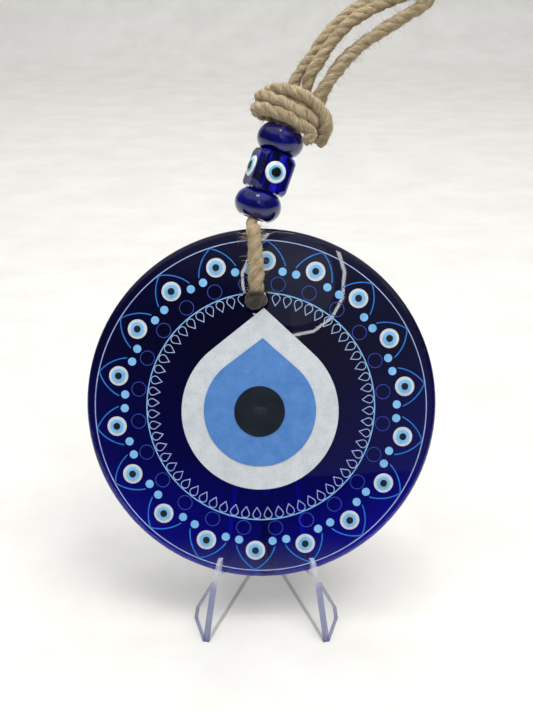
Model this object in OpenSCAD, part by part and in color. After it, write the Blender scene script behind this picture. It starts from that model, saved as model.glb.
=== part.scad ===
// Evil eye ornament: a cobalt glass disc with fused enamel, hung with beads on a jute cord,
// leaning on a clear display easel. Millimetres, +Z up, the disc faces -Y.

/* [Disc] */
// outer diameter of the glass disc
disc_d = 110; // [60:1:200]
// thickness at the rim
rim_t = 5; // [3:0.5:10]
// rise of the front dome above the rim
dome_h = 3; // [1:0.5:8]
// radius of the rounded rim edges
edge_r = 1.6; // [0.5:0.1:2.4]
// diameter of the cord hole
hole_d = 6.7; // [4:0.1:10]
// height of the hole above the disc's centre
hole_up = 32.8; // [20:0.1:45]
// sideways offset of the hole
hole_side = -1.7; // [-5:0.1:5]
// backward lean of the disc, degrees
lean = 20; // [5:1:35]

/* [Enamel] */
// clockwise turn of the whole pattern, degrees
print_turn = 2.1; // [-10:0.1:10]
// number of petals and small eyes
petal_count = 18; // [6:1:36]
// number of thin circles outside the inner ring
circle_count = 24; // [6:1:48]
// number of teardrop loops inside the inner ring
tear_count = 60; // [20:1:90]
// radius of the outer hairline ring
outer_ring_r = 52; // [20:0.1:90]
// radius of the inner ring
inner_ring_r = 35.6; // [15:0.1:60]
// radius of the circle the small eyes lie on
eye_ring_r = 45.5; // [20:0.1:80]
// thickness of one enamel layer
enamel_t = 0.16; // [0.1:0.01:0.5]

/* [Beads] */
// diameter of the rondelle beads
rondelle_d = 15; // [8:0.5:25]
// height of the rondelle beads
rondelle_h = 8.8; // [5:0.1:15]
// width of the cube bead
cube_w = 12.2; // [8:0.1:20]
// height of the cube bead
cube_h = 12; // [8:0.1:20]
// turn of the cube bead about the cord, degrees
cube_turn = 20; // [-45:1:45]
// bore diameter through the beads
bore_d = 6.8; // [4:0.1:9]
// sideways tilt of the bead stack, degrees
stack_tilt = 19.3; // [-30:0.1:30]

/* [Cord] */
// diameter of the jute cord
cord_d = 3.6; // [2:0.1:6]

/* [Easel] */
// half the distance between the two front feet
foot_x = 19.1; // [12:0.1:40]
// length of the easel from the front feet to the rear spine
easel_len = 56; // [40:0.1:90]
// thickness of the clear plates
plate_t = 1.3; // [0.8:0.1:3]
// sideways offset of the easel from the disc's centre
easel_x = 1.5; // [-5:0.1:5]
// height that the backrest reaches up the disc, measured from the disc's centre
backrest_up = 4; // [-10:0.5:30]

/* [Hidden] */
disc_r = disc_d / 2;
disc_z = 66.8;
origin_y = 0.54;
flat_r = disc_r - edge_r;
dome_r = (flat_r * flat_r + dome_h * dome_h) / (2 * dome_h);
dome_cz = rim_t + dome_h - dome_r;
hole_r = hole_d / 2;
hole_bevel = 0.8;
round_fn = 96;
dome_fn = 720;
print_at = [-0.2, -0.75];
ring_gap_deg = 12.6;
ring_gap_at = 94.7;
lift = 0.02;
step = enamel_t + 0.02;
line_w = 0.34;
hair_w = 0.24;
eye_r = [3.05, 2.15, 1.08];
petal_arc_r = 12.3;
petal_arc_at = [5.83, -4.53];
petal_arc_from = 118.3;
petal_arc_span = 47;
dot_r = 1.28;
dot_at_r = 42.6;
dot_at_deg = 7.1;
circle_at_r = 38.5;
circle_r = 2.36;
circle_phase = 6;
tear_r = 1.36;
tear_tip = 2.55;
white_drop = [24.5, 32.3];
white_at = [-0.15, -1.5];
iris_drop_size = [17.5, 22.6];
iris_at = [-0.2, -1.15];
pupil_r = 7.9;
pupil_at = [-0.3, -1.45];

bead_gap = 0.25;
stack_at = [-1.1, 62.5, 2.5];
bore_r = bore_d / 2;
cube_s = rondelle_h / 2 + bead_gap + cube_h / 2;
upper_s = cube_s + cube_h / 2 + bead_gap + rondelle_h / 2;
rondelle_arc_r = 4.9;
cube_corner_r = 2.2;
cube_ball_r = 8.75;
bundle_r = 2.9;
bundle_from = -5.25;
core_from = 26;
core_to = 35;
core_r = 4.1;
core_p = [-2.6, 2.7];
wrap_s = [27.9, 31.8];
wrap_p = 10.2;
wrap_z = 6.35;
wrap_r = 1.85;
wrap_rings = 14;
tail_r = 1.7;
cord_r = cord_d / 2;
cord_sides = 8;

// cord route through the hole: [x, y, z, radius] in the disc's frame, front bead mouth to back bead mouth
sling_route = [
    [-2.85, 57.5, 3.95, 1.4],
    [-3.0, 57.0, 4.0, 1.4],
    [-3.0, 56.5, 5.3, 1.45],
    [-2.7, 55.4, 6.9, 1.7],
    [-2.2, 53.2, 7.9, cord_r],
    [-1.9, 48.0, 8.5, cord_r],
    [-1.7, 42.0, 9.0, cord_r],
    [-1.6, 38.4, 9.2, cord_r],
    [-1.6, 36.2, 8.8, cord_r],
    [-1.6, 34.5, 7.1, cord_r],
    [-1.6, 34.1, 5.4, cord_r],
    [-1.6, 34.1, 1.6, cord_r],
    [-1.6, 34.5, -0.35, cord_r],
    [-1.6, 36.0, -1.75, cord_r],
    [-1.6, 38.2, -2.1, cord_r],
    [-1.7, 44.0, -2.1, cord_r],
    [-1.9, 50.0, -2.1, cord_r],
    [-2.3, 53.4, -2.1, cord_r],
    [-2.7, 55.5, -1.7, 1.7],
    [-3.0, 56.5, -0.3, 1.45],
    [-3.0, 57.0, 1.0, 1.4],
    [-2.85, 57.5, 1.05, 1.4]
];

// outer hanging loop: [x, y, z, radius] in the disc's frame
loop_a_route = [
    [9.6, 98.4, 0, cord_r],
    [11.2, 103.0, 0.2, cord_r],
    [15.6, 108.6, 0.2, cord_r],
    [19.6, 114.6, 0.2, cord_r],
    [24.0, 119.8, 0.2, cord_r],
    [29.8, 124.2, 0.2, cord_r],
    [36.6, 127.2, 0.2, cord_r],
    [42.6, 129.2, 0, cord_r],
    [47.2, 130.6, 0, cord_r],
    [51.4, 130.4, 0, cord_r],
    [53.2, 127.8, 0, cord_r],
    [50.8, 125.0, 0, cord_r],
    [46.2, 122.4, 0, cord_r],
    [42.0, 119.8, 0, cord_r],
    [37.6, 117.2, 0, cord_r],
    [33.4, 114.4, 0, cord_r],
    [29.0, 111.0, 0, cord_r],
    [24.4, 106.6, 0, cord_r],
    [21.4, 101.6, 0, cord_r],
    [19.4, 97.2, 0, cord_r]
];

// inner hanging loop, which lies in front of the outer one
loop_b_route = [
    [13.8, 97.6, 2.0, cord_r],
    [15.0, 102.0, 3.4, cord_r],
    [17.8, 106.6, 4.0, cord_r],
    [21.6, 112.4, 4.0, cord_r],
    [25.8, 117.2, 4.0, cord_r],
    [31.0, 121.2, 4.0, cord_r],
    [37.2, 124.2, 4.0, cord_r],
    [42.0, 126.2, 4.0, cord_r],
    [46.2, 127.8, 4.0, cord_r],
    [49.6, 127.6, 4.0, cord_r],
    [50.6, 125.2, 4.0, cord_r],
    [48.2, 122.8, 4.0, cord_r],
    [44.6, 120.8, 4.0, cord_r],
    [40.4, 118.0, 4.0, cord_r],
    [36.2, 115.4, 4.0, cord_r],
    [31.6, 112.0, 4.0, cord_r],
    [26.8, 107.6, 4.0, cord_r],
    [22.6, 102.8, 4.0, cord_r],
    [18.4, 97.2, 3.9, cord_r]
];

// cord ends below the knot: [sideways, along, depth] in the bead stack's frame, start and tip
tail_a_ends = [[8.9, 25.8, 4.6], [8.1, 22.2, 6.0]];
tail_b_ends = [[10.9, 25.8, 0.8], [11.5, 23.4, 1.0]];

// side profile of an easel plate: [distance from the foot tip, height]
plate_profile = [
    [0, 0],
    [8.0, 16.8],
    [8.8, 18.7],
    [9.5, 20.4],
    [10.4, 21.8],
    [11.8, 22.7],
    [14.4, 22.9],
    [36.2, disc_z + backrest_up],
    [39.2, disc_z + backrest_up - 0.6],
    [59, 61],
    [59, 0]
];
slot_gap = 0.35;
slot_floor = -54.35;
spine_w = 4.4;
spine_d = 4.6;
spine_h = 61;
foot_y = -33.9;
splay = atan(foot_x / easel_len);
wing_out = [3.4, 12.3];
wing_corner_h = 3.1;
wing_bite = 0.5;

glass_c = [0.02, 0.03, 0.35];
white_c = [0.88, 0.9, 0.92];
sky_c = [0.45, 0.68, 0.88];
azure_c = [0.1, 0.42, 0.8];
dim_c = [0.12, 0.18, 0.55];
black_c = [0.03, 0.05, 0.06];
jute_c = [0.7, 0.58, 0.42];
clear_c = [0.85, 0.87, 0.93, 0.4];

function unit(v) = v / norm(v);
function dome_at(r) = dome_cz + sqrt(dome_r * dome_r - r * r);
function xyz(q) = [q[0], q[1], q[2]];
function tangent(route, i) =
    unit(xyz(route[min(i + 1, len(route) - 1)]) - xyz(route[max(i - 1, 0)]));
function ring(c, t, ref, r) =
    let(n = unit(cross(ref, t)), b = cross(t, n))
    [for (k = [0 : cord_sides - 1]) c + r * (cos(360 * k / cord_sides) * n + sin(360 * k / cord_sides) * b)];

// Disc frame: origin at the centre of the back face, x right, y up the disc, z out of the front.
module in_disc() {
    translate([0, origin_y, disc_z])
        rotate([90 - lean, 0, 0])
            children();
}

// Bead stack frame: origin at the lower bead's centre, z up the cord, x to the right.
module in_stack() {
    in_disc()
        translate(stack_at)
            rotate([0, 0, -stack_tilt])
                rotate([-90, 0, 0])
                    children();
}

// The pattern's frame: the pole of the dome moved to the pattern's own centre.
module in_print() {
    in_disc()
        translate([0, 0, dome_cz])
            rotate(a = asin(norm(print_at) / dome_r), v = [-print_at[1], print_at[0], 0])
                translate([0, 0, -dome_cz])
                    rotate([0, 0, -print_turn])
                        children();
}

// Sets a flat piece on the dome, y pointing outward. deg runs clockwise from the top.
module on_dome(r, deg) {
    rotate([0, 0, -deg])
        translate([0, r, dome_at(r) + lift])
            rotate([-asin(r / dome_r), 0, 0])
                children();
}

module dome_ring(r, w, span = 360) {
    rotate_extrude(angle = span, $fn = round_fn)
        polygon([
            [r - w / 2, dome_at(r - w / 2) + lift],
            [r + w / 2, dome_at(r + w / 2) + lift],
            [r + w / 2, dome_at(r + w / 2) + lift + enamel_t],
            [r - w / 2, dome_at(r - w / 2) + lift + enamel_t]
        ]);
}

// A thin shell over the dome's middle, one enamel layer thick.
module dome_shell(r, layer) {
    low = dome_r + lift + layer * step;
    rotate_extrude($fn = round_fn)
        intersection() {
            translate([0, dome_cz])
                difference() {
                    circle(r = low + enamel_t, $fn = dome_fn);
                    circle(r = low, $fn = dome_fn);
                }
            square([r, rim_t + dome_h + 2]);
        }
}

// A circle with a straight-sided point above it.
module drop_outline(r, tip) {
    a = acos(r / tip);
    n = 80;
    arc = [for (i = [0 : n]) let(t = 90 + a + (360 - 2 * a) * i / n) [r * cos(t), r * sin(t)]];
    polygon(concat([[0, tip]], arc));
}

module hole_cut(extra) {
    translate([hole_side, hole_up, -1])
        cylinder(r = hole_r + extra, h = rim_t + dome_h + 2, $fn = 64);
}

module sweep(route, ref) {
    n = len(route);
    m = cord_sides;
    pts = [for (i = [0 : n - 1]) each ring(xyz(route[i]), tangent(route, i), ref, route[i][3])];
    sides = [
        for (i = [0 : n - 2], k = [0 : m - 1])
            each [
                [i * m + k, i * m + (k + 1) % m, (i + 1) * m + k],
                [i * m + (k + 1) % m, (i + 1) * m + (k + 1) % m, (i + 1) * m + k]
            ]
    ];
    caps = [[for (k = [m - 1 : -1 : 0]) k], [for (k = [0 : m - 1]) (n - 1) * m + k]];
    polyhedron(points = pts, faces = concat(sides, caps));
}

module cord_stub(ends) {
    d = ends[1] - ends[0];
    translate([ends[0][0], -ends[0][2], ends[0][1]])
        rotate([0, acos(d[1] / norm(d)), atan2(-d[2], d[0])])
            cylinder(r = tail_r, h = norm(d), $fn = 32);
}

module glass_disc() {
    color(glass_c)
        in_disc()
            difference() {
                rotate_extrude($fn = round_fn) {
                    square([flat_r, rim_t]);
                    translate([0, edge_r]) square([disc_r, rim_t - 2 * edge_r]);
                    translate([flat_r, edge_r]) circle(r = edge_r, $fn = 48);
                    translate([flat_r, rim_t - edge_r]) circle(r = edge_r, $fn = 48);
                    intersection() {
                        translate([0, dome_cz]) circle(r = dome_r, $fn = dome_fn);
                        square([flat_r, rim_t + dome_h]);
                    }
                }
                hole_cut(0);
                translate([hole_side, hole_up, dome_at(hole_up) - hole_bevel])
                    cylinder(r1 = hole_r, r2 = hole_r + 2, h = 2, $fn = 64);
                translate([hole_side, hole_up, hole_bevel - 2])
                    cylinder(r1 = hole_r + 2, r2 = hole_r, h = 2, $fn = 64);
            }
}

module enamel_drop(size, at, layer) {
    in_print()
        intersection() {
            dome_shell(size[1] + 3, layer);
            translate([at[0], at[1], 0])
                linear_extrude(height = rim_t + dome_h + 2)
                    drop_outline(size[0], size[1]);
        }
}

module white_drop() {
    color(white_c) enamel_drop(white_drop, white_at, 0);
}

module iris_drop() {
    color(sky_c) enamel_drop(iris_drop_size, iris_at, 1);
}

module pupil_dot() {
    color(black_c)
        in_print()
            intersection() {
                dome_shell(pupil_r + 3, 2);
                translate([pupil_at[0], pupil_at[1], 0])
                    cylinder(r = pupil_r, h = rim_t + dome_h + 2, $fn = 64);
            }
}

module outer_ring() {
    color(white_c) in_print() dome_ring(outer_ring_r, line_w * 0.85);
}

module inner_ring() {
    color(sky_c)
        in_print()
            rotate([0, 0, ring_gap_at + ring_gap_deg / 2])
                dome_ring(inner_ring_r, line_w, 360 - ring_gap_deg);
}

module petal_arc() {
    translate([petal_arc_at[0], petal_arc_at[1], 0])
        rotate([0, 0, petal_arc_from])
            rotate_extrude(angle = petal_arc_span, $fn = round_fn)
                translate([petal_arc_r - line_w / 2, 0])
                    square([line_w, enamel_t]);
}

module petal_arcs() {
    color(azure_c)
        in_print()
            for (i = [0 : petal_count - 1])
                on_dome(eye_ring_r, 360 * i / petal_count) {
                    petal_arc();
                    mirror([1, 0, 0]) petal_arc();
                }
}

module petal_dots() {
    color(sky_c)
        in_print()
            for (i = [0 : petal_count - 1], side = [-1, 1])
                on_dome(dot_at_r, 360 * i / petal_count + side * dot_at_deg)
                    cylinder(r = dot_r, h = enamel_t, $fn = 32);
}

module eye_layer(layer) {
    in_print()
        for (i = [0 : petal_count - 1])
            on_dome(eye_ring_r, 360 * i / petal_count)
                translate([0, 0, layer * step])
                    cylinder(r = eye_r[layer], h = enamel_t, $fn = 48);
}

module eye_whites() {
    color(white_c) eye_layer(0);
}

module eye_irises() {
    color(sky_c) eye_layer(1);
}

module eye_pupils() {
    color(black_c) eye_layer(2);
}

function tear_points(r, tip) =
    let(a = acos(r / tip), n = 9)
    concat([[0, -tip]], [for (i = [0 : n]) let(t = -90 + a + (360 - 2 * a) * i / n) [r * cos(t), r * sin(t)]]);

module teardrop_loops() {
    r_in = tear_r - hair_w;
    tip_in = tear_tip * r_in / tear_r;
    color(white_c)
        in_print()
            difference() {
                for (i = [0 : tear_count - 1])
                    on_dome(inner_ring_r - tear_r - line_w / 2 - lift, 180 + 360 * i / tear_count)
                        linear_extrude(height = enamel_t)
                            difference() {
                                polygon(tear_points(tear_r, tear_tip));
                                polygon(tear_points(r_in, tip_in));
                            }
                rotate([0, 0, print_turn])
                    translate([-print_at[0], -print_at[1], 0])
                        hole_cut(hole_bevel + 0.1);
            }
}

module thin_circles() {
    color(dim_c)
        in_print()
            for (i = [0 : circle_count - 1])
                on_dome(circle_at_r, circle_phase + 360 * i / circle_count)
                    difference() {
                        cylinder(r = circle_r, h = enamel_t / 2, $fn = 48);
                        translate([0, 0, -1]) cylinder(r = circle_r - hair_w, h = 2, $fn = 48);
                    }
}

module rondelle() {
    rotate_extrude($fn = round_fn)
        intersection() {
            translate([rondelle_d / 2 - rondelle_arc_r, 0]) circle(r = rondelle_arc_r, $fn = 96);
            translate([bore_r, -rondelle_h / 2]) square([rondelle_d, rondelle_h]);
        }
}

module lower_bead() {
    color(glass_c) in_stack() rondelle();
}

module upper_bead() {
    color(glass_c) in_stack() translate([0, 0, upper_s]) rondelle();
}

module in_cube() {
    in_stack()
        translate([0, 0, cube_s])
            rotate([0, 0, cube_turn])
                children();
}

module cube_outline() {
    a = cube_w / 2;
    b = a - cube_corner_r;
    square([cube_w, 2 * b], center = true);
    square([2 * b, cube_w], center = true);
    for (x = [-b, b], y = [-b, b])
        translate([x, y]) circle(r = cube_corner_r, $fn = 48);
}

module cube_bead() {
    color(glass_c)
        in_cube()
            difference() {
                intersection() {
                    translate([0, 0, -cube_h / 2]) linear_extrude(height = cube_h) cube_outline();
                    sphere(r = cube_ball_r, $fn = round_fn);
                }
                translate([0, 0, -cube_h]) cylinder(r = bore_r, h = 2 * cube_h, $fn = 64);
            }
}

// One layer of a raised eye on each side face of the cube bead.
module cube_eyes(profile) {
    in_cube()
        for (k = [0 : 3])
            rotate([0, 0, 90 * k])
                translate([0, -cube_w / 2 - lift, 0])
                    rotate([90, 0, 0])
                        rotate_extrude($fn = 64)
                            polygon(profile);
}

module cube_eye_whites() {
    color(white_c) cube_eyes([[0, 0], [3.4, 0], [3.15, 0.35], [2.3, 0.45], [0, 0.45]]);
}

module cube_eye_irises() {
    color(sky_c) cube_eyes([[0, 0.46], [2.3, 0.46], [2.05, 0.66], [1.6, 0.72], [0, 0.72]]);
}

module cube_eye_pupils() {
    color(black_c) cube_eyes([[0, 0.73], [1.6, 0.73], [1.3, 0.92], [0.7, 0.99], [0, 1.01]]);
}

module sling_cord() {
    color(jute_c) in_disc() sweep(sling_route, [1, 0, 0]);
}

module bead_cord() {
    color(jute_c)
        in_stack()
            translate([0, 0, bundle_from])
                cylinder(r = bundle_r, h = core_from - bundle_from, $fn = 48);
}

module knot_core() {
    color(jute_c)
        in_stack()
            translate([0, 0, core_from])
                linear_extrude(height = core_to - core_from) {
                    for (p = core_p)
                        translate([p, 0]) circle(r = core_r, $fn = 48);
                    translate([core_p[0], -core_r]) square([core_p[1] - core_p[0], 2 * core_r]);
                }
}

// Two bands of cord around the bundle, each a closed oval.
module knot_wraps() {
    n = wrap_rings;
    m = cord_sides;
    color(jute_c)
        in_stack()
            for (s = wrap_s)
                polyhedron(
                    points = [
                        for (i = [0 : n - 1], k = [0 : m - 1])
                            let(t = 360 * i / n, q = 360 * k / m)
                            let(out = unit([cos(t) / wrap_p, sin(t) / wrap_z, 0]))
                            [wrap_p * cos(t), wrap_z * sin(t), s] + wrap_r * (cos(q) * out + [0, 0, sin(q)])
                    ],
                    faces = [
                        for (i = [0 : n - 1], k = [0 : m - 1])
                            let(j = (i + 1) % n, l = (k + 1) % m)
                            each [
                                [i * m + k, i * m + l, j * m + k],
                                [i * m + l, j * m + l, j * m + k]
                            ]
                    ]
                );
}

module tail_a() {
    color(jute_c) in_stack() cord_stub(tail_a_ends);
}

module tail_b() {
    color(jute_c) in_stack() cord_stub(tail_b_ends);
}

module loop_cord_a() {
    color(jute_c) in_disc() sweep(loop_a_route, [0, 0, 1]);
}

module loop_cord_b() {
    color(jute_c) in_disc() sweep(loop_b_route, [0, 0, 1]);
}

module easel_side() {
    difference() {
        union() {
            translate([foot_x, foot_y, 0])
                rotate([0, 0, 90 + splay])
                    rotate([90, 0, 0])
                        translate([0, 0, -plate_t])
                            linear_extrude(height = plate_t)
                                polygon(plate_profile);
            wing();
        }
        translate([-foot_x / 2, foot_y + easel_len - spine_d, -1])
            cube([foot_x, foot_x, 2 * disc_z]);
        translate([0, 0, disc_z])
            rotate([90 - lean, 0, 0])
                translate([-disc_r, slot_floor, -slot_gap])
                    cube([disc_d, disc_d, rim_t + 2 * slot_gap]);
    }
}

// The small slanted plate that braces a front foot on its outer side.
module wing() {
    turn = atan2(wing_out[1], wing_out[0]);
    reach = norm(wing_out);
    run = plate_profile[1];
    side = [-run[0] * sin(splay), run[0] * cos(splay)];
    along = side[0] * cos(turn) + side[1] * sin(turn);
    across = side[1] * cos(turn) - side[0] * sin(turn);
    high = norm([across, run[1]]);
    corner = wing_corner_h / run[1];
    translate([foot_x - wing_bite, foot_y, 0])
        rotate([0, 0, turn])
            rotate([atan2(run[1], across), 0, 0])
                linear_extrude(height = plate_t)
                    polygon([[0, 0], [reach, 0], [reach + along * corner, high * corner], [along, high]]);
}

module easel_right() {
    color(clear_c) translate([easel_x, origin_y, 0]) easel_side();
}

module easel_left() {
    color(clear_c) translate([easel_x, origin_y, 0]) mirror([1, 0, 0]) easel_side();
}

module easel_spine() {
    color(clear_c)
        translate([easel_x - spine_w / 2, origin_y + foot_y + easel_len - spine_d, 0])
            cube([spine_w, spine_d, spine_h]);
}

glass_disc();
white_drop();
iris_drop();
pupil_dot();
outer_ring();
inner_ring();
petal_arcs();
petal_dots();
eye_whites();
eye_irises();
eye_pupils();
teardrop_loops();
thin_circles();
lower_bead();
cube_bead();
cube_eye_whites();
cube_eye_irises();
cube_eye_pupils();
upper_bead();
sling_cord();
bead_cord();
knot_core();
knot_wraps();
tail_a();
tail_b();
loop_cord_a();
loop_cord_b();
easel_left();
easel_right();
easel_spine();
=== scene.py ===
import math
import random

import bpy
from mathutils import Matrix, Vector


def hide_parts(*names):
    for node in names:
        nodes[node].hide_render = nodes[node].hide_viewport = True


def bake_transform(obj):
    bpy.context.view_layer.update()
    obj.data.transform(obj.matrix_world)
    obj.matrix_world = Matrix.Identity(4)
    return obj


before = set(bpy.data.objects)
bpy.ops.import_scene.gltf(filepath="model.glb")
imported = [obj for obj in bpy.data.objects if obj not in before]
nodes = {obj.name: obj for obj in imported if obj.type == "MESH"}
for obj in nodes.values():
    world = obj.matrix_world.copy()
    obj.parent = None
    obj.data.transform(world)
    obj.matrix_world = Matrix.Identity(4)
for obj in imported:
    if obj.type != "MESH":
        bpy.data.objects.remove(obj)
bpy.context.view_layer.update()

MM = 0.001

# ---------------------------------------------------------------- frames

# The disc leans back and the bead stack tilts sideways on it; both frames are in millimetres
LEAN = math.radians(20)
TILT = math.radians(19.3)
ORIGIN = Vector((0, 0.54, 66.8))
EX = Vector((1, 0, 0))
EY = Vector((0, math.sin(LEAN), math.cos(LEAN)))
EZ = Vector((0, -math.cos(LEAN), math.sin(LEAN)))
STACK_AT = Vector((-1.1, 62.5, 2.5))
ALONG = EX * math.sin(TILT) + EY * math.cos(TILT)
ACROSS = EX * math.cos(TILT) - EY * math.sin(TILT)


def disc_pt(x, y, z):
    """A point of the disc's frame, millimetres, as metres of the row frame."""
    return (ORIGIN + EX * x + EY * y + EZ * z) * MM


STACK_ORIGIN = ORIGIN + EX * STACK_AT.x + EY * STACK_AT.y + EZ * STACK_AT.z


def stack_pt(p, s, z):
    """A point of the bead stack's frame: sideways, along, depth."""
    return (STACK_ORIGIN + ACROSS * p + ALONG * s + EZ * z) * MM


HOLE = disc_pt(-1.7, 32.8, 3.2)

# ---------------------------------------------------------------- camera

CAMERA_AT = (0.001593, -0.30543, 0.20654)
CAMERA_DOWN = math.radians(22)

cam_data = bpy.data.cameras.new("camera")
cam_data.sensor_fit = "HORIZONTAL"
cam_data.sensor_width = 36
cam_data.lens = 71.13
cam_data.clip_start = 0.01
cam = bpy.data.objects.new("camera", cam_data)
bpy.context.scene.collection.objects.link(cam)
cam.location = CAMERA_AT
cam.rotation_euler = (math.pi / 2 - CAMERA_DOWN, 0, 0)
bpy.context.scene.camera = cam


# ---------------------------------------------------------------- material helpers

def new_material(name):
    mat = bpy.data.materials.new(name)
    mat.use_nodes = True
    tree = mat.node_tree
    return mat, tree, tree.nodes["Principled BSDF"]


def add(tree, kind, **values):
    """A node of this kind with its settings."""
    node = tree.nodes.new(kind)
    for key, value in values.items():
        setattr(node, key, value)
    return node


def link(tree, a, out, b, into):
    tree.links.new(a.outputs[out], b.inputs[into])


def ramp(tree, source, out, stops):
    node = tree.nodes.new("ShaderNodeValToRGB")
    elements = node.color_ramp.elements
    while len(elements) < len(stops):
        elements.new(0.5)
    for element, (at, col) in zip(elements, stops):
        element.position = at
        element.color = (*col, 1)
    link(tree, source, out, node, "Fac")
    return node


def srgb(r, g, b):
    def lin(c):
        c = c / 255
        return c / 12.92 if c <= 0.04045 else ((c + 0.055) / 1.055) ** 2.4
    return (lin(r), lin(g), lin(b))


def grey(level):
    return (level, level, level)


def noise(tree, scale, detail, rough, coordinate="Object", stretch=None):
    """Noise on one of the object's coordinates, which stretch may scale along each axis."""
    co = tree.nodes.new("ShaderNodeTexCoord")
    tex = tree.nodes.new("ShaderNodeTexNoise")
    tex.inputs["Scale"].default_value = scale
    tex.inputs["Detail"].default_value = detail
    tex.inputs["Roughness"].default_value = rough
    if stretch:
        mapping = tree.nodes.new("ShaderNodeMapping")
        mapping.inputs["Scale"].default_value = stretch
        link(tree, co, coordinate, mapping, "Vector")
        link(tree, mapping, "Vector", tex, "Vector")
    else:
        link(tree, co, coordinate, tex, "Vector")
    return tex


def bump(tree, source, out, bsdf, distance, strength):
    node = tree.nodes.new("ShaderNodeBump")
    node.inputs["Distance"].default_value = distance
    node.inputs["Strength"].default_value = strength
    link(tree, source, out, node, "Height")
    link(tree, node, "Normal", bsdf, "Normal")


def skin(tree, source, bsdf, stops):
    """Roughness that follows a pattern."""
    levels = ramp(tree, source, "Fac", [(at, grey(level)) for at, level in stops])
    link(tree, levels, "Color", bsdf, "Roughness")


def multiply(tree, a, b):
    mix = add(tree, "ShaderNodeMixRGB", blend_type="MULTIPLY")
    mix.inputs["Fac"].default_value = 1
    link(tree, a, "Color", mix, "Color1")
    link(tree, b, "Color", mix, "Color2")
    return mix


def scaled_ramp(tree, source, out, top, stops):
    """A ramp whose stops are given in metres, from 0 to top."""
    share = add(tree, "ShaderNodeMath", operation="MULTIPLY")
    share.inputs[1].default_value = 1 / top
    tree.links.new(source.outputs[out], share.inputs[0])
    return ramp(tree, share, "Value", [(at / top, colour) for at, colour in stops])


# ---------------------------------------------------------------- materials

# Heights and distances over which the glass and plastic change colour, much of it painted light and
# shade
OBJECT_H = 200 * MM
BORE_REACH = 10 * MM
POLISHED = [(0.3, 0.04), (0.7, 0.14)]
PLASTIC_IOR = 1.49
GLASS_IOR = 1.5


def enamel(name, base, light, rough=0.34, speck=1600):
    """Fused enamel print: faint dot grain, uneven body colour and a satin skin."""
    mat, tree, bsdf = new_material(name)
    body = noise(tree, 260, 5, 0.6)
    grain = add(tree, "ShaderNodeTexVoronoi")
    grain.inputs["Scale"].default_value = speck
    co = tree.nodes.new("ShaderNodeTexCoord")
    link(tree, co, "Object", grain, "Vector")
    shade = ramp(tree, body, "Fac", [(0.32, base), (0.72, light)])
    dots = ramp(tree, grain, "Distance", [(0.1, grey(0.86)), (0.55, grey(1))])
    link(tree, multiply(tree, shade, dots), "Color", bsdf, "Base Color")
    skin(tree, body, bsdf, [(0.3, rough - 0.06), (0.7, rough + 0.08)])
    bump(tree, grain, "Distance", bsdf, 0.00002, 0.5)
    return mat


def height_ramp(tree, stops):
    """A ramp over the height above the table, in metres."""
    co = tree.nodes.new("ShaderNodeTexCoord")
    split = tree.nodes.new("ShaderNodeSeparateXYZ")
    link(tree, co, "Object", split, "Vector")
    return scaled_ramp(tree, split, "Z", OBJECT_H, stops)


def bore_painted_shade(tree):
    """Painted shade and glint: the glass is tinted deep saturated blue in the drilled hole and its
    bevels.
    """
    co = tree.nodes.new("ShaderNodeTexCoord")
    away = add(tree, "ShaderNodeVectorMath", operation="SUBTRACT")
    away.inputs[1].default_value = HOLE
    link(tree, co, "Object", away, "Vector")
    up = add(tree, "ShaderNodeVectorMath", operation="DOT_PRODUCT")
    up.inputs[1].default_value = EY
    link(tree, away, "Vector", up, "Vector")
    split = tree.nodes.new("ShaderNodeSeparateXYZ")
    link(tree, away, "Vector", split, "Vector")
    flat = tree.nodes.new("ShaderNodeCombineXYZ")
    link(tree, split, "X", flat, "X")
    link(tree, up, "Value", flat, "Y")
    reach = add(tree, "ShaderNodeVectorMath", operation="LENGTH")
    link(tree, flat, "Vector", reach, "Vector")
    return scaled_ramp(tree, reach, "Value", BORE_REACH,
                       [(3.6 * MM, (0.01, 0.01, 0.25)), (4.6 * MM, grey(1))])


def absorbing_glass(name, tint, density, rough, wave, wave_depth, stops=None):
    """Clear-skinned glass whose colour comes from its depth; given stops, its tint also carries
    painted light, lighter low down and darker higher up, and painted shade in the bore.
    """
    mat, tree, bsdf = new_material(name)
    bsdf.inputs["IOR"].default_value = GLASS_IOR
    bsdf.inputs["Transmission Weight"].default_value = 1
    ripple = noise(tree, wave, 3, 0.5)
    shade = ramp(tree, ripple, "Fac", [(0.3, (0.88, 0.88, 0.9)), (0.7, grey(1))])
    # Painted light and shade: the tint is lighter low down, darker higher up and darkened in the bore
    if stops:
        shade = multiply(tree, shade, height_ramp(tree, stops))
        shade = multiply(tree, shade, bore_painted_shade(tree))
    link(tree, shade, "Color", bsdf, "Base Color")
    skin(tree, ripple, bsdf, [(0.3, rough * 0.6), (0.75, rough * 1.6)])
    bump(tree, ripple, "Fac", bsdf, wave_depth, 0.6)
    volume = add(tree, "ShaderNodeVolumeAbsorption")
    volume.inputs["Color"].default_value = (*tint, 1)
    volume.inputs["Density"].default_value = density
    link(tree, volume, "Volume", tree.nodes["Material Output"], "Volume")
    return mat


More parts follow.
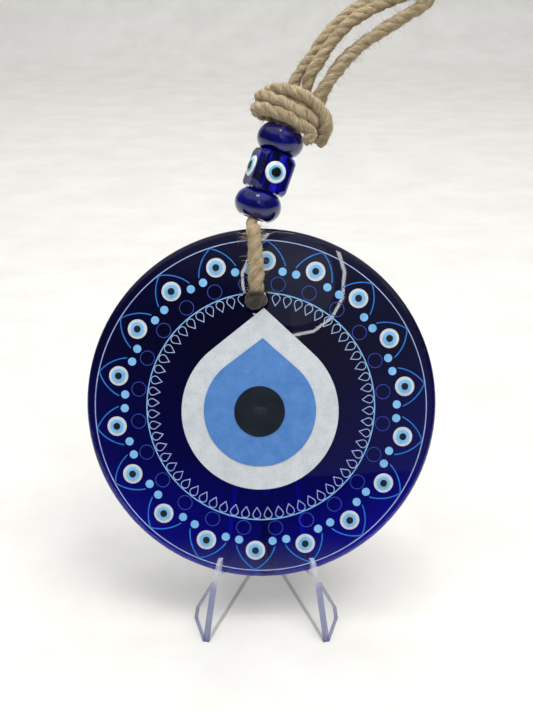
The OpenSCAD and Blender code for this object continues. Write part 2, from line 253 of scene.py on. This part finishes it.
def clear_material():
    """Clear polished plastic: near-invisible plate faces, cut edges painted violet low down and
    whitish at the lips as painted light, and a painted glow on the cut edges higher up.
    """
    mat, tree, bsdf = new_material("clear_plastic")
    geo = tree.nodes.new("ShaderNodeNewGeometry")
    split = tree.nodes.new("ShaderNodeSeparateXYZ")
    link(tree, geo, "Normal", split, "Vector")
    flat = add(tree, "ShaderNodeMath", operation="ABSOLUTE")
    tree.links.new(split.outputs["X"], flat.inputs[0])
    smear = noise(tree, 120, 4, 0.6)
    # Painted light: the cut edges darken to violet low down and turn whitish at the lips, standing in
    # for light the clear plastic refracts and catches
    painted_edge_light = height_ramp(tree, [(0.004, srgb(92, 97, 146)), (0.015, srgb(128, 132, 176)),
                              (0.0195, srgb(214, 218, 228)), (0.03, srgb(206, 210, 226))])
    haze = ramp(tree, smear, "Fac", [(0.3, (0.86, 0.86, 0.9)), (0.7, grey(1))])
    edge_col = multiply(tree, painted_edge_light, haze)
    face_col = ramp(tree, smear, "Fac", [(0.3, srgb(206, 208, 220)), (0.7, srgb(228, 229, 236))])
    mask = ramp(tree, flat, "Value", [(0.6, grey(0)), (0.85, grey(1))])
    mix = tree.nodes.new("ShaderNodeMixRGB")
    link(tree, mask, "Color", mix, "Fac")
    link(tree, edge_col, "Color", mix, "Color1")
    link(tree, face_col, "Color", mix, "Color2")
    link(tree, mix, "Color", bsdf, "Base Color")
    cut_edge = ramp(tree, flat, "Value", [(0.6, grey(1)), (0.85, grey(0.12))])
    body = height_ramp(tree, [(0.014, grey(0.74)), (0.0185, grey(0.4)), (0.024, grey(0.4)),
                              (0.026, grey(0.75))])
    lift = add(tree, "ShaderNodeMath", operation="MULTIPLY_ADD")
    lift.inputs[1].default_value = 0.5
    lift.inputs[2].default_value = 0.5
    tree.links.new(split.outputs["Z"], lift.inputs[0])
    under = ramp(tree, lift, "Value", [(0.08, grey(0.4)), (0.3, grey(1))])
    alpha = multiply(tree, multiply(tree, cut_edge, body), under)
    # Painted light: the cut edges above the lips glow as if lit, a stand-in for light gathered in the
    # plastic
    painted_glow = height_ramp(tree, [(0.0235, grey(0)), (0.027, (0.8, 0.82, 1.0)), (0.066, (0.8, 0.82, 1.0))])
    lit = ramp(tree, flat, "Value", [(0.5, grey(1)), (0.7, grey(0))])
    link(tree, multiply(tree, painted_glow, lit), "Color", bsdf, "Emission Color")
    bsdf.inputs["Emission Strength"].default_value = 1.7
    link(tree, alpha, "Color", bsdf, "Alpha")
    skin(tree, smear, bsdf, POLISHED)
    bsdf.inputs["IOR"].default_value = PLASTIC_IOR
    return mat


def spine_material():
    """The thick back of the easel: the same clear plastic, seen straight through."""
    mat, tree, bsdf = new_material("clear_spine")
    smear = noise(tree, 120, 4, 0.6)
    shade = ramp(tree, smear, "Fac", [(0.3, srgb(176, 178, 206)), (0.7, srgb(222, 224, 236))])
    link(tree, shade, "Color", bsdf, "Base Color")
    alpha = ramp(tree, smear, "Fac", [(0.3, grey(0.14)), (0.7, grey(0.2))])
    link(tree, alpha, "Color", bsdf, "Alpha")
    skin(tree, smear, bsdf, POLISHED)
    bsdf.inputs["IOR"].default_value = PLASTIC_IOR
    return mat


def bead_material():
    """Cloudy cobalt bead glass with darker swirls."""
    mat, tree, bsdf = new_material("bead_glass")
    swirl = noise(tree, 210, 5, 0.65)
    swirl.inputs["Distortion"].default_value = 1.2
    shade = ramp(tree, swirl, "Fac",
                 [(0.3, srgb(3, 4, 74)), (0.52, srgb(5, 8, 112)), (0.75, srgb(10, 14, 150))])
    link(tree, shade, "Color", bsdf, "Base Color")
    skin(tree, swirl, bsdf, [(0.3, 0.03), (0.75, 0.1)])
    bsdf.inputs["IOR"].default_value = GLASS_IOR
    bsdf.inputs["Transmission Weight"].default_value = 0.25
    bsdf.inputs["Coat Weight"].default_value = 0.6
    bsdf.inputs["Coat Roughness"].default_value = 0.03
    bump(tree, swirl, "Fac", bsdf, 0.00012, 0.5)
    return mat


def jute_material():
    """Twisted bast fibre: fine strands along each ply, pale flecks, and dark grooves that are partly
    the fibre's own tone and partly painted shade; painted shade also darkens it in the hole.
    """
    mat, tree, bsdf = new_material("jute")
    fibre = noise(tree, 5, 6, 0.7, "UV", (7, 0.4, 1))
    patch = noise(tree, 380, 3, 0.5)
    # Partly painted shade: the fibre pattern's low values, which the bump sinks into grooves, are
    # darker
    body = ramp(tree, fibre, "Fac",
                [(0.33, srgb(104, 84, 56)), (0.45, srgb(168, 146, 111)),
                 (0.56, srgb(206, 187, 150)), (0.68, srgb(242, 229, 200))])
    tone = ramp(tree, patch, "Fac", [(0.3, (0.8, 0.78, 0.74)), (0.7, grey(1))])
    # Painted shade: the cord is darkened where it lies in the hole
    hole_shade = add(tree, "ShaderNodeAttribute", attribute_name="hole_shade")
    painted_hole_shade = ramp(tree, hole_shade, "Fac", [(0.0, grey(1)), (1.0, (0.09, 0.09, 0.11))])
    mix = multiply(tree, multiply(tree, body, tone), painted_hole_shade)
    link(tree, mix, "Color", bsdf, "Base Color")
    bsdf.inputs["Roughness"].default_value = 0.82
    bsdf.inputs["Sheen Weight"].default_value = 0.25
    bump(tree, fibre, "Fac", bsdf, 0.0004, 1)
    return mat


def fuzz_material():
    """The same fibre, loose and unspun."""
    mat, tree, bsdf = new_material("jute_fuzz")
    tex = noise(tree, 500, 3, 0.5)
    shade = ramp(tree, tex, "Fac", [(0.3, srgb(150, 126, 92)), (0.7, srgb(214, 196, 160))])
    link(tree, shade, "Color", bsdf, "Base Color")
    bsdf.inputs["Roughness"].default_value = 0.7
    return mat


# Painted light: the disc's tint is full low down and darkens higher up, as if light gathered at the
# bottom
cobalt = absorbing_glass("cobalt_glass", (0.02, 0.0, 0.75), 1050, 0.02, 40, 0.00001,
                         [(0.03, grey(1)), (0.052, grey(0.36)), (0.085, grey(0.1))])
cube_glass = absorbing_glass("cube_glass", (0.0, 0.0, 0.86), 620, 0.03, 160, 0.00006)
clear = clear_material()
spine = spine_material()
white = enamel("white_enamel", srgb(197, 204, 209), srgb(215, 220, 223))
sky = enamel("sky_enamel", srgb(76, 126, 192), srgb(92, 141, 206))
sky_bright = enamel("sky_enamel_bright", srgb(112, 176, 228), srgb(140, 198, 240), 0.3)
azure = enamel("azure_enamel", srgb(26, 108, 196), srgb(44, 130, 216), 0.3)
black = enamel("black_enamel", srgb(6, 13, 24), srgb(15, 27, 40), 0.42)
pale = enamel("pale_enamel", srgb(146, 166, 214), srgb(178, 194, 228), 0.3)
dim = enamel("dim_enamel", srgb(38, 58, 146), srgb(54, 76, 170), 0.3)
cube_white = enamel("cube_white", srgb(232, 236, 240), srgb(246, 248, 250), 0.12, 700)
cube_sky = enamel("cube_sky", srgb(86, 184, 224), srgb(120, 206, 238), 0.12, 700)
cube_black = enamel("cube_black", srgb(8, 9, 12), srgb(22, 24, 28), 0.1, 700)
beads = bead_material()
jute = jute_material()
fuzz_mat = fuzz_material()

for name, mat in {
    "glass_disc": cobalt, "white_drop": white, "iris_drop": sky, "pupil_dot": black,
    "outer_ring": pale, "inner_ring": sky_bright, "petal_arcs": azure, "petal_dots": sky_bright,
    "eye_whites": white, "eye_irises": sky_bright, "eye_pupils": black,
    "teardrop_loops": pale, "thin_circles": dim,
    "cube_bead": cube_glass, "cube_eye_whites": cube_white, "cube_eye_irises": cube_sky,
    "cube_eye_pupils": cube_black, "easel_left": clear, "easel_right": clear, "easel_spine": spine,
    "lower_bead": beads, "upper_bead": beads,
}.items():
    mesh = nodes[name].data
    mesh.materials.clear()
    mesh.materials.append(mat)


# ---------------------------------------------------------------- rope

CORD_D = 3.6 * MM
PLIES = 3
PLY_SIDES = 18
RING_STEP = 0.4 * MM
CURVE_STEPS = 24
# Turns: length of one turn of the plies, and its slow drift
PLY_PITCH = 11.5 * MM
DRIFT = 0.25
DRIFT_LENGTH = 7 * MM
# Plies: distance from the middle and radius as shares of the cord's, and how the end draws in
PLY_SPREAD = 0.3
PLY_SIZE = 0.72
END_TAPER = 1.2 * MM
# Slow swellings of the plies: depth and length
SWELLS = ((0.07, 3.1 * MM), (0.05, 1.3 * MM))
# Grooves between the yarns of a ply, which turn faster than the ply
YARN_LOBES = 8
YARN_TURNS = 2.1
YARN_DEPTH = 0.07
RIPPLE_LOBES = 3
RIPPLE_DEPTH = 0.03
RIPPLE_LENGTH = 0.9 * MM
ROUGHNESS_DEPTH = 0.045
# Fibre pattern: its slant and the length of one repeat
FIBRE_SLANT = 1.6
FIBRE_REPEAT = 4 * MM
# Painted shade on the cord in the hole: depth and height in the disc's frame at which it ends, and its
# fades, millimetres
SHADE_TOP = 12.0
SHADE_TOP_FADE = 1.2
SHADE_HIGH = 36.0
SHADE_HIGH_FADE = 1.4
# Loose fibres
FIBRE_STEPS = 5
FIBRE_SIDES = 3
FIBRES = 3200
SHORT_SHARE = 0.85
# Ranges of a fibre's length and width, millimetres
SHORT_REACH = (0.5, 1.6)
LONG_REACH = (1.6, 4.6)
TUFT_REACH = (2.5, 7.0)
FIBRE_WIDTH = (0.035, 0.06)


def smooth_path(points, step):
    """Catmull-Rom through [point, radius] pairs, resampled to even steps."""
    dense = []
    n = len(points)
    for i in range(n - 1):
        p0, p1 = points[max(i - 1, 0)], points[i]
        p2, p3 = points[i + 1], points[min(i + 2, n - 1)]
        for j in range(CURVE_STEPS):
            t = j / CURVE_STEPS
            a = -0.5 * t ** 3 + t ** 2 - 0.5 * t
            b = 1.5 * t ** 3 - 2.5 * t ** 2 + 1
            c = -1.5 * t ** 3 + 2 * t ** 2 + 0.5 * t
            d = 0.5 * t ** 3 - 0.5 * t ** 2
            dense.append((p0[0] * a + p1[0] * b + p2[0] * c + p3[0] * d, p1[1] * (1 - t) + p2[1] * t))
    dense.append(points[-1])
    out = [dense[0]]
    left = step
    for (pa, ra), (pb, rb) in zip(dense, dense[1:]):
        seg = (pb - pa).length
        at = 0.0
        while seg - at >= left:
            at += left
            t = at / seg
            out.append((pa.lerp(pb, t), ra * (1 - t) + rb * t))
            left = step
        left -= seg - at
    return out


def frames_along(path):
    """A tangent and two normals at each point, carried along without twist."""
    out = []
    normal = None
    n = len(path)
    for i in range(n):
        t = (path[min(i + 1, n - 1)][0] - path[max(i - 1, 0)][0]).normalized()
        if normal is None:
            normal = t.orthogonal().normalized()
        normal = (normal - t * normal.dot(t)).normalized()
        out.append((t, normal, t.cross(normal)))
    return out


def clamp(value):
    return max(0.0, min(1.0, value))


def tube_faces(faces, base, rings, sides):
    """The skin of a tube whose rings of points start at number base."""
    for i in range(rings):
        ring = base + i * sides
        for side in range(sides):
            beside = (side + 1) % sides
            faces.append((ring + side, ring + beside, ring + sides + beside, ring + sides + side))


def new_object(name, mesh):
    obj = bpy.data.objects.new(name, mesh)
    bpy.context.scene.collection.objects.link(obj)
    return obj


def rope_mesh(name, points, seed):
    """Twisted plies along the route, each with yarn grooves; also gives the path and its frames."""
    rng = random.Random(seed)
    path = smooth_path(points, RING_STEP)
    rows = frames_along(path)
    verts, faces, uvs = [], [], []
    wobble = [[rng.uniform(0, 6.28) for _ in range(6)] for _ in range(PLIES)]
    last = len(path) - 1
    for ply in range(PLIES):
        base = len(verts)
        for i, ((c, r), (t, n, b)) in enumerate(zip(path, rows)):
            s = i * RING_STEP
            w = wobble[ply]
            turn = 2 * math.pi * (s / PLY_PITCH + ply / PLIES)
            turn += DRIFT * math.sin(s / DRIFT_LENGTH + w[0])
            swell = 1 + sum(depth * math.sin(s / length + phase)
                            for (depth, length), phase in zip(SWELLS, w[1:3]))
            end = min(1, (last - i) * RING_STEP / END_TAPER)
            spread = PLY_SPREAD * (2 - end)
            centre = c + (n * math.cos(turn) + b * math.sin(turn)) * (r * spread * swell)
            ply_r = r * PLY_SIZE * swell * (0.5 + 0.5 * end)
            for side in range(PLY_SIDES):
                q = 2 * math.pi * side / PLY_SIDES
                groove = 1 + YARN_DEPTH * math.cos(YARN_LOBES * (q - YARN_TURNS * turn) + w[3])
                groove += RIPPLE_DEPTH * math.sin(RIPPLE_LOBES * q + s / RIPPLE_LENGTH + w[4])
                groove += rng.uniform(-ROUGHNESS_DEPTH, ROUGHNESS_DEPTH)
                verts.append(centre + (n * math.cos(q) + b * math.sin(q)) * (ply_r * groove))
                uvs.append(((q - FIBRE_SLANT * turn) / (2 * math.pi), s / FIBRE_REPEAT))
        tube_faces(faces, base, last, PLY_SIDES)
        faces.append(tuple(base + side for side in reversed(range(PLY_SIDES))))
        faces.append(tuple(base + last * PLY_SIDES + side for side in range(PLY_SIDES)))
    mesh = bpy.data.meshes.new(name)
    mesh.from_pydata(verts, [], faces)
    layer = mesh.uv_layers.new(name="fibre")
    for poly in mesh.polygons:
        poly.use_smooth = len(poly.vertices) == 4
        us = [uvs[v][0] for v in poly.vertices]
        for loop, v in zip(poly.loop_indices, poly.vertices):
            u = uvs[v][0]
            if max(us) - u > 0.5:
                u += 1
            layer.data[loop].uv = (u, uvs[v][1])
    # Painted shade in the hole: 1 deep in the hole, fading to 0 above it and in front of it
    hole_shade = mesh.attributes.new("hole_shade", "FLOAT", "POINT")
    for i, v in enumerate(verts):
        at = v / MM - ORIGIN
        deep = clamp((SHADE_TOP - at.dot(EZ)) / SHADE_TOP_FADE)
        low = clamp((SHADE_HIGH - at.dot(EY)) / SHADE_HIGH_FADE)
        hole_shade.data[i].value = deep * low
    mesh.materials.append(jute)
    return new_object(name, mesh), path, rows


def fuzz_mesh(name, path, rows, count, seed, bare, tufts):
    """Loose fibres that stand out of the cord, each a thin bent blade."""
    rng = random.Random(seed)
    verts, faces = [], []
    jobs = [(rng.random() * (len(path) - 1) * RING_STEP, 0) for _ in range(count)]
    for lo, hi, n in tufts:
        jobs += [(rng.uniform(lo, hi), 1) for _ in range(n)]
    for s, tuft in jobs:
        if any(lo <= s <= hi for lo, hi in bare):
            continue
        i = min(int(s / RING_STEP), len(path) - 1)
        c, r = path[i]
        t, n, b = rows[i]
        q = rng.uniform(0, 2 * math.pi)
        out = n * math.cos(q) + b * math.sin(q)
        lean = t * rng.uniform(-1, 1) + t.cross(out) * rng.uniform(-1, 1)
        if tuft:
            reach = rng.uniform(*TUFT_REACH) * MM
        elif rng.random() < SHORT_SHARE:
            reach = rng.uniform(*SHORT_REACH) * MM
        else:
            reach = rng.uniform(*LONG_REACH) * MM
        curl = rng.uniform(-0.7, 0.7)
        width = rng.uniform(*FIBRE_WIDTH) * MM
        start = c + out * r * 0.85
        wide = lean.cross(out).normalized()
        thin = wide.cross(out).normalized()
        base = len(verts)
        for j in range(FIBRE_STEPS + 1):
            f = j / FIBRE_STEPS
            p = start + out * reach * f * (1 - 0.35 * f) + lean * reach * (0.6 * f + curl * f * f)
            w = width * (1 - 0.6 * f)
            for side in range(FIBRE_SIDES):
                g = 2 * math.pi * side / FIBRE_SIDES
                verts.append(p + wide * (w * math.cos(g)) + thin * (w * math.sin(g)))
        tube_faces(faces, base, FIBRE_STEPS, FIBRE_SIDES)
    mesh = bpy.data.meshes.new(name)
    mesh.from_pydata(verts, [], faces)
    mesh.materials.append(fuzz_mat)
    return new_object(name, mesh)


# Radii: plain cord, loose strand over the face, inside the beads, at the beads' mouths,
# wraps of the knot, plug in the hole and its frayed lip over the rim
PLAIN = CORD_D / 2 * 1.06
FAT = PLAIN * 1.24
TIGHT = 1.46 * MM
MOUTH = 1.6 * MM
BAND = 2.05 * MM
PLUG = 3.3 * MM
LIP = 3.7 * MM


def route(place, points):
    """Points of the disc's or the stack's frame as places and radii; a bare point is plain cord."""
    return [(place(*point[:3]), point[3] if len(point) > 3 else PLAIN) for point in points]


# The two hanging loops, in the disc's frame
LOOP_A = [
    (11.2, 103.0, 0.2), (15.6, 108.6, 0.2), (19.6, 114.6, 0.2), (24.0, 119.8, 0.2),
    (29.8, 124.2, 0.2), (36.6, 127.2, 0.2), (42.6, 129.2, 0), (47.2, 130.6, 0),
    (51.4, 130.4, 0), (53.2, 127.8, 0), (50.8, 125.0, 0), (46.2, 122.4, 0),
    (42.0, 119.8, 0), (37.6, 117.2, 0), (33.4, 114.4, 0), (29.0, 111.0, 0),
    (24.4, 106.6, 0), (21.4, 101.6, 0), (19.4, 97.2, 0),
]
LOOP_B = [
    (13.8, 97.6, 2.0), (15.0, 102.0, 3.4), (17.8, 106.6, 4.0), (21.6, 112.4, 4.0),
    (25.8, 117.2, 4.0), (31.0, 121.2, 4.0), (37.2, 124.2, 4.0), (42.0, 126.2, 4.0),
    (46.2, 127.8, 4.0), (49.6, 127.6, 4.0), (50.6, 125.2, 4.0), (48.2, 122.8, 4.0),
    (44.6, 120.8, 4.0), (40.4, 118.0, 4.0), (36.2, 115.4, 4.0), (31.6, 112.0, 4.0),
    (26.8, 107.6, 4.0), (22.6, 102.8, 4.0), (18.4, 97.2, 3.9),
]

front_route = route(disc_pt, [
    (-1.7, 32.8, 2.8, PLUG), (-1.7, 32.8, 4.8, PLUG), (-1.7, 33.1, 6.8, LIP),
    (-1.65, 35.2, 8.2, 2.3 * MM), (-1.6, 36.8, 9.5, FAT), (-1.6, 38.8, 9.9, FAT),
    (-1.7, 42.0, 9.8, FAT), (-1.9, 48.0, 9.3, FAT), (-2.2, 53.0, 8.5, FAT), (-2.7, 55.4, 7.0),
    (-2.95, 56.7, 5.0, MOUTH),
]) + route(stack_pt, [
    (0, -4.2, 1.5, TIGHT), (0, 0, 1.45, TIGHT), (0, 10, 1.45, TIGHT), (0, 22, 1.45, TIGHT),
    (-0.3, 26.5, 1.5, MOUTH), (-1.2, 30.5, 0.8), (-1.7, 34.0, -1.0), (-1.78, 37.4, -2.5),
]) + route(disc_pt, LOOP_A) + route(stack_pt, [
    (7.6, 37.2, -3.4), (6.6, 35.0, -4.8), (3.4, 33.4, -6.0), (-1.4, 32.6, -6.4),
    (-6.2, 32.2, -5.1), (-9.4, 32.0, -2.4, BAND), (-10.2, 32.0, 0.8, BAND),
    (-8.4, 31.9, 3.7, BAND), (-4.4, 31.5, 5.8, BAND), (0, 31.0, 6.5, BAND), (4.6, 30.3, 6.1, BAND),
    (8.2, 29.8, 4.2, BAND), (10.2, 29.3, 0.8), (9.4, 29.0, -2.6), (6.0, 28.6, -5.0),
    (0.8, 28.2, -6.3), (-4.8, 28.0, -5.7), (-8.9, 27.9, -3.1, BAND), (-10.3, 28.0, 0.2, BAND),
    (-8.6, 28.2, 3.6, BAND), (-4.6, 28.1, 5.8, BAND), (0, 27.8, 6.6, BAND), (4.4, 27.2, 6.4, BAND),
    (7.4, 26.4, 5.5), (8.6, 25.2, 4.9), (8.4, 23.8, 5.4), (8.1, 22.2, 6.0),
])
back_route = route(disc_pt, [
    (-1.7, 32.8, 2.9, PLUG), (-1.7, 33.1, 1.2, 2.8 * MM), (-1.6, 34.6, -0.7), (-1.6, 36.0, -1.75),
    (-1.6, 38.2, -2.1), (-1.7, 44.0, -2.1), (-1.9, 50.0, -2.1), (-2.3, 53.4, -2.1),
    (-2.7, 55.5, -1.7), (-2.95, 56.8, 0.0, MOUTH),
]) + route(stack_pt, [
    (0, -4.2, -1.5, TIGHT), (0, 0, -1.45, TIGHT), (0, 10, -1.45, TIGHT), (0, 22, -1.45, TIGHT),
    (0.3, 26.5, -1.5, MOUTH), (1.6, 31.0, -1.4), (2.2, 35.0, -1.0),
]) + route(disc_pt, LOOP_B) + route(stack_pt, [
    (6.4, 37.4, 0.6), (5.4, 35.6, -2.2), (2.6, 34.9, -4.6), (-1.6, 34.6, -5.6), (-5.4, 34.4, -4.4),
    (-7.8, 34.3, -1.6), (-7.8, 34.7, 1.4, BAND), (-5.4, 35.3, 4.0, BAND), (-1.8, 35.7, 5.5, BAND),
    (2.4, 35.5, 6.2, BAND), (6.4, 34.6, 6.0, BAND), (9.6, 32.8, 5.2, BAND),
    (11.9, 30.2, 4.2, BAND), (12.3, 27.6, 2.9, BAND), (12.0, 25.4, 1.8), (11.5, 23.4, 1.0),
])


# Between these places the rope passes from the hanger's motion to the loop's
HANGER_NODES = {
    "rope_front": ("bead_cord", "knot_core", "tail_a", "loop_cord_a"),
    "rope_back": ("sling_cord", "knot_wraps", "tail_b", "loop_cord_b"),
}
# Lengths along the cord, in metres: (from, to, number of fibres) where it frays at the beads'
# mouths, and (from, to) where the hole and the beads keep it bare
TUFTS = {
    "rope_front": ((0.023, 0.0265, 46), (0.057, 0.062, 14)),
    "rope_back": ((0.023, 0.0265, 20), (0.057, 0.062, 14)),
}
BARE = ((0.0, 0.004), (0.0275, 0.056))
for name, points, seed in (("rope_front", front_route, 11), ("rope_back", back_route, 23)):
    rope, path, rows = rope_mesh(name, points, seed)
    fuzz = fuzz_mesh(name.replace("rope", "fuzz"), path, rows, FIBRES, seed + 1,
                     bare=BARE, tufts=TUFTS[name])
    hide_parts(*HANGER_NODES[name])
    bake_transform(rope)
    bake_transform(fuzz)


# ---------------------------------------------------------------- stage

def plaster():
    """Pale plaster with painted shade that darkens it on the camera's side, out of its view."""
    mat, tree, bsdf = new_material("plaster")
    tex = noise(tree, 22, 6, 0.6)
    shade = ramp(tree, tex, "Fac", [(0.35, (0.66, 0.65, 0.62)), (0.65, (0.72, 0.71, 0.68))])
    co = tree.nodes.new("ShaderNodeTexCoord")
    split = tree.nodes.new("ShaderNodeSeparateXYZ")
    link(tree, co, "Object", split, "Vector")
    near = add(tree, "ShaderNodeMath", operation="MULTIPLY_ADD")
    near.inputs[1].default_value = 1
    near.inputs[2].default_value = 1
    tree.links.new(split.outputs["Y"], near.inputs[0])
    # Painted shade: the floor darkens towards the camera, so the glass mirrors a dark foreground
    painted_floor_shade = ramp(tree, near, "Value", [(0.25, grey(0.06)), (0.62, grey(0.3)), (0.84, grey(1))])
    link(tree, multiply(tree, shade, painted_floor_shade), "Color", bsdf, "Base Color")
    bsdf.inputs["Roughness"].default_value = 0.75
    bump(tree, tex, "Fac", bsdf, 0.0006, 0.5)
    return mat


def sweep_stage():
    """A pale table that curves up into a pale wall behind."""
    half = 2.5
    front = -0.9
    back = 1.7
    radius = 0.4
    top = 2.2
    bend_steps = 12
    profile = [(front, 0.0), (back - radius, 0.0)]
    for i in range(1, bend_steps + 1):
        a = math.pi / 2 * i / bend_steps
        profile.append((back - radius + radius * math.sin(a), radius - radius * math.cos(a)))
    profile.append((back, top))
    verts = [(x, y, z) for y, z in profile for x in (-half, half)]
    faces = [(2 * i, 2 * i + 1, 2 * i + 3, 2 * i + 2) for i in range(len(profile) - 1)]
    mesh = bpy.data.meshes.new("stage")
    mesh.from_pydata(verts, [], faces)
    for poly in mesh.polygons:
        poly.use_smooth = True
    mesh.materials.append(plaster())
    new_object("stage", mesh)


sweep_stage()


# ---------------------------------------------------------------- light

def area(name, at, target, size, power, colour=(1, 1, 1), size_y=None):
    """An area lamp that faces the target."""
    data = bpy.data.lights.new(name, "AREA")
    data.energy = power
    data.color = colour
    data.size = size
    if size_y:
        data.shape = "RECTANGLE"
        data.size_y = size_y
    obj = bpy.data.objects.new(name, data)
    bpy.context.scene.collection.objects.link(obj)
    obj.location = at
    obj.rotation_euler = (Vector(target) - Vector(at)).to_track_quat("-Z", "Y").to_euler()
    return obj


# Soft lamps that light the object but aren't mirrored in the glass
CENTRE = (0, 0, 0.08)
for lamp in (
    area("key", (0.35, -0.35, 0.85), CENTRE, 0.6, 4.0, (1, 0.99, 0.97), 0.5),
    area("fill", (-0.8, -0.6, 0.55), CENTRE, 0.7, 2.2, (0.95, 0.97, 1)),
    area("top", (0, 0.15, 1.0), (0, 0.1, 0), 0.9, 4.2),
    area("wash", (0, 0.7, 1.7), (0, 1.3, 0), 1.4, 16),
):
    lamp.visible_glossy = False

# Two narrow bars that the beads mirror
for bar_y in (-0.1, -0.18):
    area("bar", (0.05, bar_y, 0.72), (0.01, 0.02, 0.13), 0.14, 0.2, size_y=0.018)

# A ring of lamps with a dim disc behind it, mirrored in the glass beside the hole
RING_AT = Vector((0.05, -0.52, 0.42))
RING_R = 0.086
RING_LAMPS = 14
RING_WIDTH = 0.005
GLARE_BEHIND = 0.03
lamp_length = 2.1 * math.pi * RING_R / RING_LAMPS
ring_axis = (Vector((0.01, 0, 0.1)) - RING_AT).normalized()
ring_u = ring_axis.orthogonal().normalized()
ring_v = ring_axis.cross(ring_u)
for i in range(RING_LAMPS):
    a = 2 * math.pi * i / RING_LAMPS
    at = RING_AT + ring_u * (RING_R * math.cos(a)) + ring_v * (RING_R * math.sin(a))
    lamp = area("ring", at, at + ring_axis, lamp_length, 0.007, size_y=RING_WIDTH)
    side = ring_v * math.cos(a) - ring_u * math.sin(a)
    lamp.rotation_euler = Matrix((side, side.cross(ring_axis), -ring_axis)).transposed().to_euler()

glare = area("glare", RING_AT - ring_axis * GLARE_BEHIND, RING_AT, 0.15, 0.022, (0.7, 0.8, 1))
glare.data.shape = "DISK"

# A dim window that greys the right half of the glass
area("window", (0.36, -1.0, 0.48), (0, 0, 0.09), 0.56, 0.17, (0.96, 0.98, 1), 0.66)

# The room: dark low down and pale overhead
world = bpy.data.worlds.new("room")
bpy.context.scene.world = world
world.use_nodes = True
tree = world.node_tree
co = tree.nodes.new("ShaderNodeTexCoord")
split = tree.nodes.new("ShaderNodeSeparateXYZ")
link(tree, co, "Generated", split, "Vector")
sky_ramp = ramp(tree, split, "Z",
                [(0.0, (0.05, 0.05, 0.06)), (0.5, (0.08, 0.08, 0.09)), (0.72, (0.62, 0.63, 0.64)),
                 (1.0, (0.72, 0.73, 0.74))])
link(tree, sky_ramp, "Color", tree.nodes["Background"], "Color")

bpy.context.scene.view_settings.view_transform = "Standard"
